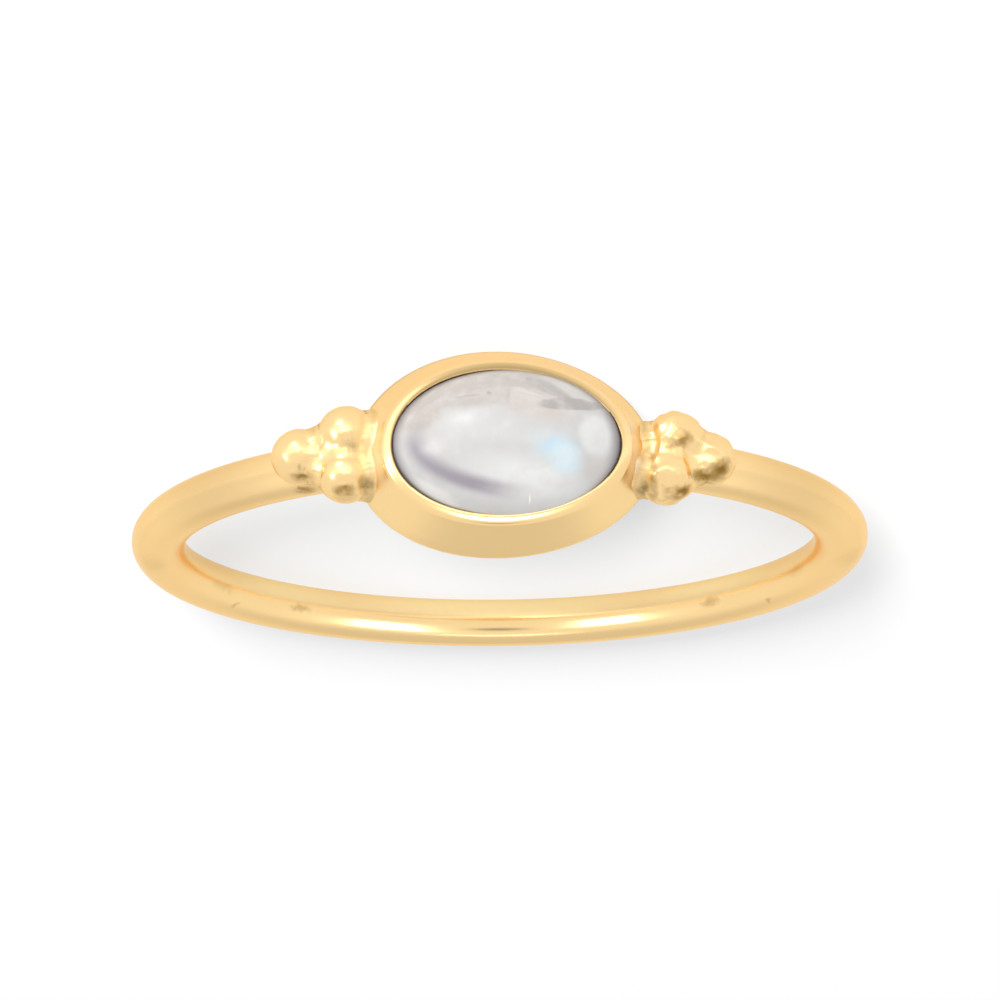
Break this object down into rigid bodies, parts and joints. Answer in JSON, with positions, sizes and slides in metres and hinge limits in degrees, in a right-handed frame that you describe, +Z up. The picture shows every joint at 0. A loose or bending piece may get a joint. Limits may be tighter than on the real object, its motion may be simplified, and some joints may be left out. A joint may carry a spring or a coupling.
{
  "type": "moonstone ring",
  "caption": "Slim finger ring of rounded wire with an oval cabochon in a plain bezel cup and round solder beads beside it.",
  "frame": {"origin": "on the surface the ring rests on, under the middle of its box, as it lies on its side", "axes": "+Z up, nearly along the finger; -Y towards the front, where the stone faces, raised by the lean of 6.5 degrees; +X across the finger, along the stone's length"},
  "size_m": [0.0192, 0.0206, 0.0053],
  "materials": {
    "gold": "polished gold plating over silver",
    "moonstone": "polished translucent cabochon"
  },
  "bodies": {
    "root": {"ring_mount": "gold", "moonstone": "moonstone"}
  },
  "joints": []
}
